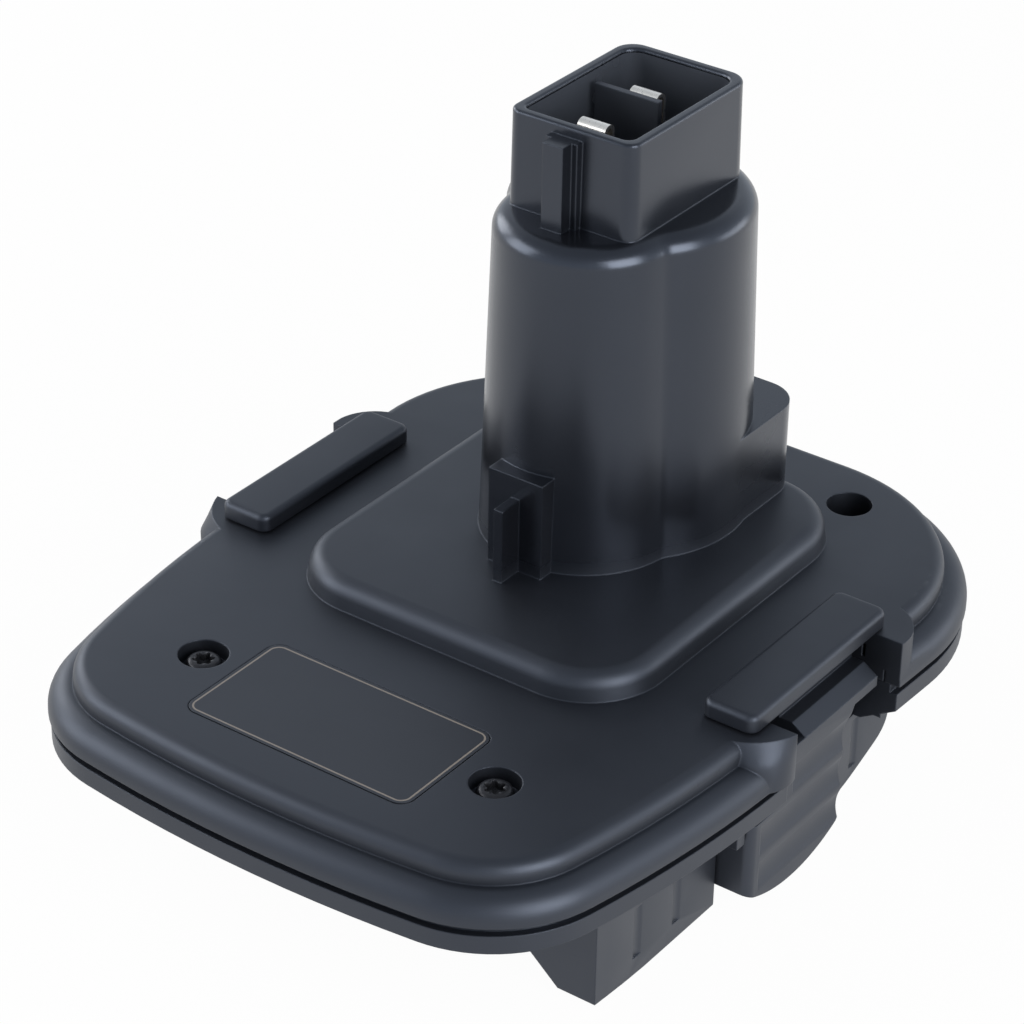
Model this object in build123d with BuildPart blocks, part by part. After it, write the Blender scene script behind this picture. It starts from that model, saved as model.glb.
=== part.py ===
from build123d import *
import os
from math import sqrt

# Tool battery adapter. X runs across it, the label end is -Y, the stem points up +Z.
# Millimetres. Z = 0 is the face of the pack skirt that the adapter stands on.

# Outline of the base plate, seen from above
half_length = 60.6
rear_half = 49.9
side_half = 48.0
side_break_y = -7.6
front_half = 40.0
front_crown = 3.6
front_corner_r = 19.0
rear_corner_r = 31.0

# Heights of the two shells
belly_z = 12.2
floor_t = 2.2
rim_top_z = 18.1
seam_gap = 1.3
deck_z = 26.4
step_h = 3.0
pedestal_h = 4.0
stem_h = 48.2
cup_h = 13.8

seam_z = rim_top_z + seam_gap
floor_z = belly_z + floor_t
flange_z = deck_z - step_h
pedestal_z = deck_z + pedestal_h
stem_z = pedestal_z + stem_h
cup_z = stem_z + cup_h

# Shared fits
wall = 2.2
touch_gap = 0.3
shank_gap = 0.05
slot_gap = 0.15
overrun = 1.0

# Upper housing
deck_inset = 3.5
flange_wall = 2.4
flange_edge_r = 3.4
flange_roof = 1.8
deck_edge_r = 2.0
pedestal_half = 28.0
pedestal_front_y = -19.0
pedestal_rear_y = 43.0
pedestal_front_r = 11.6
pedestal_rear_r = 12.4
pedestal_draft = 8.0
pedestal_edge_r = 2.6
stem_front_r = 14.4
stem_front_y = 14.6
stem_rear_r = 18.2
stem_rear_y = 24.3
stem_waist_r = 3.0
stem_draft = 1.6
stem_wall = 2.4
pedestal_wall = 3.4
shoulder_r = 2.8
spine_half = 17.7
spine_rear_y = 43.0
spine_corner_r = 5.4
spine_h = 13.6
boss_half = 4.4
boss_front_y = -1.5
boss_h = 14.6
rib_half = 0.7
rib_front_y = -5.4
rib_h = 11.2
cup_half = 10.2
cup_front_y = 8.9
cup_rear_y = 37.1
cup_front_r = 2.1
cup_rear_r = 3.3
cup_draft = 0.8
cup_wall = 1.7
cup_lip_r = 0.45
key_x = -0.4
key_half = 1.6
key_depth = 3.0
key_drop = 1.5
key_base_half = 2.5
key_base_depth = 1.0

# Notch that each latch stands in, and the ears beside it
notch_front_y = -6.2
notch_rear_y = 20.2
notch_inner_x = 37.3
frame_wall = 1.8
frame_flange_x = 46.2
frame_deck_x = 42.6
ear_half = 48.7
ear_root_x = 42.0
near_ear_y = -12.9
near_ear_top_hip = (46.4, -10.2)
near_ear_foot_hip = (46.9, -12.0)
far_ear_y = 28.2
far_ear_flat_y = 22.0
far_ear_hip = (47.3, 25.4)

# Screws that hold the shells together
screw_x = 24.0
front_screw_inset = 22.3
rear_screw_inset = 13.7
screw_shank_r = 1.5
screw_head_r = 2.5
screw_head_h = 1.9
front_pocket_r = 3.45
front_pocket_depth = 2.6
rear_pocket_r = 3.3
rear_pocket_depth = 7.0
screw_bore_r = 1.7
pocket_floor = 2.1
boss_wall = 1.9
front_screw_l = 7.2
rear_screw_l = 6.6
drive_r = 1.15
drive_lobe_r = 0.42
drive_lobes = 6
drive_depth = 1.1

# Label recess
label_length = 36.2
label_width = 19.2
label_corner_r = 2.0
label_inset = 20.8
label_t = 0.3
label_sink = 0.25

front_screw_y = front_screw_inset - half_length
rear_screw_y = half_length - rear_screw_inset
label_y = label_inset - half_length

# Lower housing
rim_inset = 0.3
rim_slope_h = 3.2
rim_slope_w = 5.4
shoulder_inset = 1.4
tongue_inset = 2.7
tongue_t = 1.2
tongue_h = 1.4
skirt_half = 42.0
skirt_front_y = -41.0
skirt_rear_y = 30.2
skirt_edge_r = 0.6
skirt_front_rise = 1.2
skirt_flat_front_y = -16.0
skirt_flat_rear_y = 12.0
skirt_tail_y = 25.6
skirt_tail_rise = 3.4
skirt_rear_rise = 8.4
rail_gap_half = 29.5
rail_top_z = 8.2
rail_tip_z = 7.0
rail_foot_x = 37.6
groove_half = 34.5
end_wall_t = 4.0
end_wall_drop = 9.0
leg_hollow_in_x = 36.7
leg_hollow_out_x = 39.9
leg_hollow_front_y = -38.8
leg_hollow_rear_y = -16.2
leg_hollow_z = 2.2
flute_r = 2.0
flute_depth = 0.25
flute_top_drop = 1.0
flute_foot_z = 3.2
flute_y_shares = [0.13, 0.256, 0.87]
catch_half = 10.0
catch_front_y = -33.0
catch_rear_y = -27.4
catch_depth = 2.0

# Latches: hook bar, ramp, neck and finger paddle in one piece
bar_in_x = 36.4
bar_out_x = 44.6
bar_front_y = -10.4
bar_rear_y = 23.0
bar_h = 2.5
bar_edge_r = 0.9
bar_corner_r = 1.5
ramp_front_y = -1.1
ramp_rear_y = 17.0
ramp_lip_z = 22.3
ramp_top_x = 44.8
ramp_top_z = 23.8
web_out_x = 42.8
core_in_x = 40.6
latch_out_x = 47.0
neck_in_x = 42.2
neck_front_y = -5.8
neck_rear_y = 9.0
neck_flare = 3.6
paddle_front_y = -13.2
paddle_rear_y = 9.1
paddle_top_z = 14.5
paddle_foot_z = 0.8
paddle_front_rise = 2.6
paddle_rear_rise = 2.8
paddle_edge_r = 1.4
paddle_return = 3.2
paddle_wall_t = 1.2
grip_scoops = 3
grip_pitch = 5.75
grip_first_z = 5.7
grip_r = 6.0
grip_depth = 0.5
grip_border = 2.2
latch_travel = 3.0
pocket_end_gap = 0.5
pocket_roof = 2.0
arm_front_y = 3.0
arm_rear_y = 13.0
arm_z = 17.6
arm_t = 3.0
head_front_y = -0.4
head_rear_y = 16.4
head_l = 6.2
spring_r = 2.6
spring_wire_r = 0.4
spring_turns = 6
spring_l = 10.6
spring_pin_r = 1.6
spring_pin_l = 2.4
post_t = 1.6
post_half = 4.0
guide_t = 1.5

# Circuit board and what is on it
board_half = 13.5
board_front_y = -14.0
board_rear_y = 38.0
board_t = 1.6
board_z = 17.6
board_screw_x = 10.6
board_screw_front_y = -11.0
board_screw_rear_y = 35.0
board_screw_r = 1.0
board_screw_head_r = 1.9
board_screw_head_h = 1.3
board_screw_l = 4.4
standoff_r = 2.4
transistor_x = 5.6
transistor_y = -5.0
transistor_w = 6.5
transistor_l = 6.1
transistor_h = 2.3
chip_y = 3.6
chip_w = 4.0
chip_l = 5.0
chip_h = 1.5
shunt_y = 26.4
shunt_w = 6.4
shunt_l = 3.2
shunt_h = 0.8
capacitor_r = 4.0
capacitor_h = 11.0
capacitor_y = 13.4
capacitor_edge_r = 0.5

# Terminal block and blades that the pack slides onto
block_half = 21.0
block_front_y = 13.2
block_drop = 8.0
block_edge_r = 0.6
block_screw_x = 16.6
block_screw_y = 19.8
blade_t = 0.8
blade_front_y = -4.6
blade_low_z = 5.2
blade_high_z = 9.8
power_blade_x = 11.6
signal_blade_x = 4.0
signal_blade_front_y = 1.4
tail_front_y = 19.0
tail_rear_y = 22.6
tail_over = 1.0

# Terminals in the cup at the top of the stem
holder_half = 9.2
holder_front_y = 10.0
holder_rear_y = 35.2
holder_t = 2.6
holder_gap = 0.25
holder_rise = 1.2
contact_w = 4.4
contact_t = 2.4
contact_strip_t = 0.5
contact_top_drop = 1.6
near_contact_x = -0.4
near_contact_y = 15.6
far_contact_x = -0.6
far_contact_y = 27.8
contact_tail_w = 2.4
contact_tail_l = 4.0
divider_y = 25.5
divider_t = 0.9
divider_left_x = -7.6
divider_right_x = 2.8
divider_drop = 1.7

# Leads in the stem
lead_r = 1.1
lead_bend_r = 8.0
lead_bend_shares = (0.25, 0.6)
positive_pad = (7.6, 31.0)
negative_pad = (-7.6, 31.0)

# The plate outline that both shells share
with BuildSketch(Plane.XY) as plate_outline:
    with BuildLine():
        side_top = (rear_half, half_length)
        side_low = (side_half, side_break_y)
        front_corner = (front_half, front_crown - half_length)
        side = Line(side_top, side_low)
        flank = TangentArc(side_low, front_corner, tangent=side % 1)
        ThreePointArc(front_corner, (0, -half_length), (-front_half, front_crown - half_length))
        Line(side_top, (-rear_half, half_length))
        mirror(side, about=Plane.YZ)
        mirror(flank, about=Plane.YZ)
    make_face()
    fillet(plate_outline.vertices().group_by(Axis.Y)[0], front_corner_r)
    fillet(plate_outline.vertices().group_by(Axis.Y)[-1], rear_corner_r)


def both_sides(x, y):
    """The same place on the right and on the left."""
    return [(x, y), (-x, y)]


def box_between(low, high, mode=Mode.ADD):
    """A box in the open part, from its low corner to its high corner."""
    size = [b - a for a, b in zip(low, high)]
    with Locations(tuple(low)):
        Box(*size, align=(Align.MIN, Align.MIN, Align.MIN), mode=mode)


def mirrored_box(low, high, mode=Mode.ADD):
    """The box and its mirror image on the left."""
    box_between(low, high, mode)
    box_between((-high[0], low[1], low[2]), (-low[0], high[1], high[2]), mode)


def post(x, y, radius, low_z, high_z, mode=Mode.ADD):
    """A round post on the right and on the left, from one height to another."""
    with BuildSketch(Plane.XY.offset(low_z)) as rounds:
        with Locations(*both_sides(x, y)):
            Circle(radius)
    extrude(rounds.sketch, amount=high_z - low_z, mode=mode)


def moved_point(edge, share, inset):
    """A point of an outline edge, moved inward along the edge's own normal."""
    along = edge % share
    inward = Vector(-along.Y, along.X, 0)
    if inward.dot(edge @ share) > 0:
        inward = -inward
    return edge @ share + inward * inset


def plate_slab(inset, low_z, high_z, mode=Mode.ADD):
    """The plate outline, drawn in by an inset, from one height to another."""
    with BuildSketch(Plane.XY.offset(low_z)) as slab:
        with BuildLine():
            for edge in plate_outline.sketch.edges():
                start, middle, end = [moved_point(edge, share, inset) for share in (0, 0.5, 1)]
                if edge.geom_type == GeomType.LINE:
                    Line(start, end)
                else:
                    ThreePointArc(start, middle, end)
        make_face()
    extrude(slab.sketch, amount=high_z - low_z, mode=mode)


def pedestal_slab(inset, low_z, high_z, draft=0, mode=Mode.ADD):
    """The pedestal outline, drawn in by an inset, from one height to another."""
    length = pedestal_rear_y - pedestal_front_y - 2 * inset
    with BuildSketch(Plane.XY.offset(low_z)) as slab:
        with Locations((0, (pedestal_front_y + pedestal_rear_y) / 2)):
            Rectangle(2 * (pedestal_half - inset), length)
        fillet(slab.vertices().group_by(Axis.Y)[0], pedestal_front_r - inset)
        fillet(slab.vertices().group_by(Axis.Y)[-1], pedestal_rear_r - inset)
    extrude(slab.sketch, amount=high_z - low_z, taper=draft, mode=mode)


def cup_slab(inset, low_z, high_z, draft=0, mode=Mode.ADD):
    """The terminal cup outline, drawn in by an inset, from one height to another."""
    with BuildSketch(Plane.XY.offset(low_z)) as slab:
        with Locations((0, (cup_front_y + cup_rear_y) / 2)):
            Rectangle(2 * (cup_half - inset), cup_rear_y - cup_front_y - 2 * inset)
        fillet(slab.vertices().group_by(Axis.Y)[0], cup_front_r - inset / 2)
        fillet(slab.vertices().group_by(Axis.Y)[-1], cup_rear_r - inset / 2)
    extrude(slab.sketch, amount=high_z - low_z, taper=draft, mode=mode)


def label_slab(grow, low_z, high_z, mode=Mode.ADD):
    """The label outline, let out by a gap, from one height to another."""
    with BuildSketch(Plane.XY.offset(low_z)) as slab:
        with Locations((0, label_y)):
            RectangleRounded(label_length + 2 * grow, label_width + 2 * grow, label_corner_r + grow)
    extrude(slab.sketch, amount=high_z - low_z, mode=mode)


def blade_slots(places, grow, front_y, low_z, high_z):
    """Slots for flat blades that stand in the YZ plane, on both sides."""
    for place_x in places:
        side_low = (place_x - blade_t / 2 - grow, front_y, low_z)
        side_high = (place_x + blade_t / 2 + grow, tail_rear_y + grow, high_z)
        mirrored_box(side_low, side_high, Mode.SUBTRACT)


def stem_profile(grow=0):
    """Two round lobes seen from above, with a soft waist between them."""
    front_r = stem_front_r + grow
    rear_r = stem_rear_r + grow
    apart = stem_rear_y - stem_front_y
    along = (front_r**2 - rear_r**2 + apart**2) / (2 * apart)
    waist_x = sqrt(front_r**2 - along**2)
    waist_y = stem_front_y + along
    with BuildLine() as lobes:
        ThreePointArc((-waist_x, waist_y), (0, stem_front_y - front_r), (waist_x, waist_y))
        ThreePointArc((waist_x, waist_y), (0, stem_rear_y + rear_r), (-waist_x, waist_y))
    face = make_face(lobes.edges())
    fillet(face.vertices(), stem_waist_r - grow)


# Upper housing: plate, deck, pedestal, stem and terminal cup
cavity_top_z = deck_z - wall
cup_floor_z = stem_z - stem_wall
front_boss_z = deck_z - front_pocket_depth - pocket_floor
rear_boss_z = deck_z - rear_pocket_depth - pocket_floor
front_boss_r = front_pocket_r + boss_wall
rear_boss_r = rear_pocket_r + boss_wall
frame_in_x = notch_inner_x - frame_wall
frame_front_y = notch_front_y - frame_wall
frame_rear_y = notch_rear_y + frame_wall

with BuildPart() as stem_form:
    with BuildSketch(Plane.XY.offset(pedestal_z)):
        stem_profile()
    extrude(amount=stem_h, taper=stem_draft)
    fillet(faces().sort_by(Axis.Z)[-1].edges(), shoulder_r)

with BuildPart() as near_ear:
    for level_z, hip in ((flange_z, near_ear_foot_hip), (deck_z, near_ear_top_hip)):
        with BuildSketch(Plane.XY.offset(level_z)):
            with BuildLine():
                ThreePointArc((ear_root_x, near_ear_y), hip, (ear_half, notch_front_y))
                Polyline((ear_half, notch_front_y), (ear_root_x, notch_front_y), (ear_root_x, near_ear_y))
            make_face()
    loft(ruled=True)
    extrude(faces().sort_by(Axis.Z)[0], amount=flange_z - seam_z)

with BuildPart() as far_ear:
    with BuildSketch(Plane.XY.offset(seam_z)):
        with BuildLine():
            Polyline((ear_root_x, far_ear_y), (ear_root_x, notch_rear_y), (ear_half, notch_rear_y),
                     (ear_half, far_ear_flat_y))
            ThreePointArc((ear_half, far_ear_flat_y), far_ear_hip, (ear_root_x, far_ear_y))
        make_face()
    extrude(amount=deck_z - seam_z)

with BuildPart() as upper_housing:
    plate_slab(0, seam_z, flange_z)
    fillet(edges().group_by(Axis.Z)[-1], flange_edge_r)
    plate_slab(deck_inset, seam_z, deck_z)
    fillet(faces().sort_by(Axis.Z)[-1].edges(), deck_edge_r)

    # Pedestal under the stem
    pedestal_slab(0, deck_z, pedestal_z, pedestal_draft)
    fillet(faces().sort_by(Axis.Z)[-1].edges(), pedestal_edge_r)

    # Stem, spine box behind it, boss and rib in front of it
    add(stem_form.part)
    with BuildSketch(Plane.XY.offset(pedestal_z - overrun)):
        with Locations((0, (stem_rear_y + spine_rear_y) / 2)):
            spine = Rectangle(2 * spine_half, spine_rear_y - stem_rear_y)
        fillet(spine.vertices().group_by(Axis.Y)[-1], spine_corner_r)
    extrude(amount=spine_h + overrun)
    box_between((-boss_half, boss_front_y, pedestal_z - overrun),
                (boss_half, stem_front_y, pedestal_z + boss_h))
    box_between((-rib_half, rib_front_y, pedestal_z - overrun),
                (rib_half, stem_front_y, pedestal_z + rib_h))

    # Terminal cup with its key rib on a wider base, which runs down over the shoulder of the stem
    cup_slab(0, stem_z - overrun, cup_z, cup_draft)
    for half, depth in ((key_half, key_depth), (key_base_half, key_base_depth)):
        box_between((key_x - half, cup_front_y - depth, stem_z - shoulder_r),
                    (key_x + half, cup_front_y + cup_wall, cup_z - key_drop))

    # Ears beside the latch notches
    for ear in (near_ear, far_ear):
        add(ear.part)
        mirror(ear.part, about=Plane.YZ)

    # Hollow inside
    plate_slab(flange_wall, seam_z, seam_z + flange_roof, Mode.SUBTRACT)
    plate_slab(deck_inset + wall, seam_z, cavity_top_z, Mode.SUBTRACT)
    pedestal_slab(pedestal_wall, seam_z, pedestal_z - stem_wall, mode=Mode.SUBTRACT)
    with BuildSketch(Plane.XY.offset(pedestal_z - stem_wall - overrun)):
        stem_profile(-stem_wall)
    extrude(amount=cup_floor_z - pedestal_z + stem_wall + overrun, taper=stem_draft, mode=Mode.SUBTRACT)
    cup_slab(cup_wall, cup_floor_z - overrun, cup_z + overrun, mode=Mode.SUBTRACT)
    fillet(faces().sort_by(Axis.Z)[-1].edges(), cup_lip_r)

    # Frame round each latch notch, the notch, and the window for the latch arm
    mirrored_box((frame_in_x, frame_front_y, seam_z), (frame_deck_x, frame_rear_y, cavity_top_z + overrun))
    mirrored_box((frame_in_x, frame_front_y, seam_z),
                 (frame_flange_x, frame_rear_y, seam_z + flange_roof + overrun))
    mirrored_box((notch_inner_x, notch_front_y, seam_z - overrun),
                 (rear_half + overrun, notch_rear_y, deck_z + overrun), Mode.SUBTRACT)
    mirrored_box((frame_in_x - overrun, arm_front_y - touch_gap, seam_z - overrun),
                 (notch_inner_x + overrun, arm_rear_y + touch_gap, arm_z + arm_t + touch_gap), Mode.SUBTRACT)

    # Screw bosses and their pockets
    post(screw_x, front_screw_y, front_boss_r, front_boss_z, cavity_top_z + overrun)
    post(screw_x, rear_screw_y, rear_boss_r, rear_boss_z, cavity_top_z + overrun)
    post(screw_x, front_screw_y, front_pocket_r, deck_z - front_pocket_depth, deck_z + overrun, Mode.SUBTRACT)
    post(screw_x, rear_screw_y, rear_pocket_r, deck_z - rear_pocket_depth, deck_z + overrun, Mode.SUBTRACT)
    post(screw_x, front_screw_y, screw_bore_r, front_boss_z - overrun, deck_z, Mode.SUBTRACT)
    post(screw_x, rear_screw_y, screw_bore_r, rear_boss_z - overrun, deck_z, Mode.SUBTRACT)

    # Shallow seat for the label plate
    label_slab(slot_gap, deck_z - label_sink, deck_z + overrun, Mode.SUBTRACT)
upper_housing.part.label = "upper_housing"

# Skirt legs: the rail section along Y, trimmed to the side view
with BuildPart() as skirt_form:
    with BuildSketch(Plane.XZ.offset(-skirt_rear_y)) as leg_section:
        with BuildLine():
            Polyline((skirt_half, floor_z), (skirt_half, 0), (rail_foot_x, 0), (rail_gap_half, rail_tip_z),
                     (rail_gap_half, rail_top_z), (groove_half, rail_top_z), (groove_half, floor_z),
                     close=True)
        make_face()
        fillet(leg_section.vertices().group_by(Axis.Y)[0].sort_by(Axis.X)[-1], skirt_edge_r)
        mirror(about=Plane.YZ)
    extrude(amount=skirt_rear_y - skirt_front_y)
    mirrored_box((0, skirt_rear_y - end_wall_t, belly_z - end_wall_drop), (skirt_half, skirt_rear_y, floor_z))
    with BuildSketch(Plane.YZ.offset(-skirt_half)):
        with BuildLine():
            Line((skirt_front_y, floor_z), (skirt_front_y, skirt_front_rise))
            belly = TangentArc((skirt_flat_front_y, 0), (skirt_front_y, skirt_front_rise), tangent=(-1, 0))
            Line((skirt_flat_front_y, 0), (skirt_flat_rear_y, 0))
            Spline((skirt_flat_rear_y, 0), (skirt_tail_y, skirt_tail_rise), (skirt_rear_y, skirt_rear_rise),
                   tangents=[(1, 0), (0, 1)])
            Polyline((skirt_rear_y, skirt_rear_rise), (skirt_rear_y, floor_z), (skirt_front_y, floor_z))
        make_face()
    extrude(amount=2 * skirt_half, mode=Mode.INTERSECT)

# Lower housing: rim, belly, skirt with the slide rails, bosses and guides
hollow_inset = tongue_inset + tongue_t
pocket_in_x = neck_in_x - latch_travel - 2 * touch_gap
pocket_front_y = paddle_front_y - pocket_end_gap
pocket_rear_y = paddle_rear_y + pocket_end_gap
pocket_top_z = paddle_top_z + touch_gap
roof_front_y = pocket_front_y - frame_wall
head_out_x = frame_in_x - touch_gap
head_in_x = head_out_x - head_l
spring_post_x = head_in_x - spring_l
spring_y = (arm_front_y + arm_rear_y) / 2
spring_z = arm_z + arm_t / 2
block_z = belly_z - block_drop
block_rear_y = skirt_rear_y - end_wall_t
board_top_z = board_z + board_t
blade_places = (power_blade_x, signal_blade_x)

with BuildPart() as lower_housing:
    plate_slab(rim_inset, belly_z, rim_top_z)
    chamfer(edges().group_by(Axis.Z)[0], length=rim_slope_h, length2=rim_slope_w)
    plate_slab(shoulder_inset, rim_top_z, seam_z)
    plate_slab(tongue_inset, seam_z, seam_z + tongue_h)
    plate_slab(hollow_inset, floor_z, seam_z + tongue_h + overrun, Mode.SUBTRACT)
    mirrored_box((frame_in_x, frame_front_y - touch_gap, seam_z),
                 (rear_half + overrun, frame_rear_y + touch_gap, seam_z + tongue_h + overrun), Mode.SUBTRACT)
    add(skirt_form.part)

    # Hollow legs at the front, and the recess for the catch of the pack
    mirrored_box((leg_hollow_in_x, leg_hollow_front_y, leg_hollow_z),
                 (leg_hollow_out_x, leg_hollow_rear_y, floor_z + overrun), Mode.SUBTRACT)
    box_between((-catch_half - wall, catch_front_y - wall, belly_z),
                (catch_half + wall, catch_rear_y + wall, floor_z + catch_depth))
    box_between((-catch_half, catch_front_y, belly_z - overrun),
                (catch_half, catch_rear_y, belly_z + catch_depth), Mode.SUBTRACT)

    # Frame and roof round the latch notch and the paddle pocket
    mirrored_box((frame_in_x, roof_front_y, floor_z - overrun), (notch_inner_x, frame_rear_y, seam_z))
    mirrored_box((frame_in_x, frame_front_y, floor_z - overrun), (frame_flange_x, frame_rear_y, seam_z))
    mirrored_box((frame_in_x, roof_front_y, belly_z),
                 (frame_flange_x, notch_front_y, pocket_top_z + pocket_roof))
    mirrored_box((notch_inner_x, notch_front_y, belly_z),
                 (rear_half + overrun, notch_rear_y, deck_z), Mode.SUBTRACT)
    mirrored_box((pocket_in_x, pocket_front_y, -overrun),
                 (rear_half + overrun, pocket_rear_y, pocket_top_z), Mode.SUBTRACT)
    for wall_front_y, wall_rear_y in ((pocket_front_y, paddle_front_y + paddle_wall_t + touch_gap),
                                      (paddle_rear_y - paddle_wall_t - touch_gap, pocket_rear_y)):
        mirrored_box((pocket_in_x - paddle_return, wall_front_y, -overrun),
                     (pocket_in_x + overrun, wall_rear_y, belly_z), Mode.SUBTRACT)
    mirrored_box((frame_in_x - overrun, arm_front_y - touch_gap, arm_z - touch_gap),
                 (notch_inner_x + overrun, arm_rear_y + touch_gap, deck_z), Mode.SUBTRACT)

    # Screw bosses
    post(screw_x, front_screw_y, front_boss_r, floor_z - overrun, front_boss_z)
    post(screw_x, front_screw_y, screw_shank_r + shank_gap, floor_z, front_boss_z + overrun, Mode.SUBTRACT)
    rear_bore_z = deck_z - rear_pocket_depth - rear_screw_l - touch_gap
    post(screw_x, rear_screw_y, rear_boss_r, rear_bore_z - boss_wall, rear_boss_z)
    post(screw_x, rear_screw_y, screw_shank_r + shank_gap, rear_bore_z, rear_boss_z + overrun, Mode.SUBTRACT)

    # Spring posts with their pins, and guide ribs beside each latch arm
    mirrored_box((spring_post_x - post_t, spring_y - post_half, floor_z - overrun),
                 (spring_post_x, spring_y + post_half, spring_z + post_half))
    mirrored_box((spring_post_x, head_front_y - touch_gap - guide_t, floor_z - overrun),
                 (frame_in_x, head_front_y - touch_gap, arm_z + arm_t))
    mirrored_box((spring_post_x, head_rear_y + touch_gap, floor_z - overrun),
                 (frame_in_x, head_rear_y + touch_gap + guide_t, arm_z + arm_t))
    with BuildSketch(Plane.YZ.offset(spring_post_x - overrun)):
        with Locations((spring_y, spring_z)):
            Circle(spring_pin_r)
    extrude(amount=spring_pin_l + overrun)
    with BuildSketch(Plane.YZ.offset(-spring_post_x - spring_pin_l)):
        with Locations((spring_y, spring_z)):
            Circle(spring_pin_r)
    extrude(amount=spring_pin_l + overrun)

    # Board standoffs, screw seats of the terminal block, and slots for the blade tails
    for standoff_y in (board_screw_front_y, board_screw_rear_y):
        post(board_screw_x, standoff_y, standoff_r, floor_z - overrun, board_z)
        post(board_screw_x, standoff_y, board_screw_r + shank_gap, floor_z, board_z + overrun, Mode.SUBTRACT)
    blade_slots(blade_places, slot_gap, tail_front_y - slot_gap, belly_z - overrun, floor_z + overrun)
    post(block_screw_x, block_screw_y, board_screw_r + slot_gap, belly_z - overrun, floor_z + overrun,
         Mode.SUBTRACT)

    # Shallow flutes on the outside of the skirt
    for share in flute_y_shares:
        flute_y = skirt_front_y + share * (skirt_rear_y - skirt_front_y)
        post(skirt_half + flute_r - flute_depth, flute_y, flute_r, flute_foot_z,
             belly_z - flute_top_drop, Mode.SUBTRACT)
lower_housing.part.label = "lower_housing"

# Label plate, left bare
with BuildPart() as label_plate:
    label_slab(0, deck_z - label_sink, deck_z - label_sink + label_t)
label_plate.part.label = "label_plate"


def housing_screw(place_y, seat_z, length):
    """A pair of pan head screws with a lobed recess, head on its seat and shank down."""
    post(screw_x, place_y, screw_head_r, seat_z, seat_z + screw_head_h)
    fillet(edges().group_by(Axis.Z)[-1], screw_head_h / 3)
    post(screw_x, place_y, screw_shank_r, seat_z - length, seat_z)
    with BuildSketch(Plane.XY.offset(seat_z + screw_head_h - drive_depth)) as drive:
        with Locations(*both_sides(screw_x, place_y)):
            Circle(drive_r)
            with PolarLocations(drive_r, drive_lobes):
                Circle(drive_lobe_r)
    extrude(drive.sketch, amount=drive_depth + overrun, mode=Mode.SUBTRACT)


with BuildPart() as front_housing_screws:
    housing_screw(front_screw_y, deck_z - front_pocket_depth, front_screw_l)
front_housing_screws.part.label = "front_housing_screws"

with BuildPart() as rear_housing_screws:
    housing_screw(rear_screw_y, deck_z - rear_pocket_depth, rear_screw_l)
rear_housing_screws.part.label = "rear_housing_screws"

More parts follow.
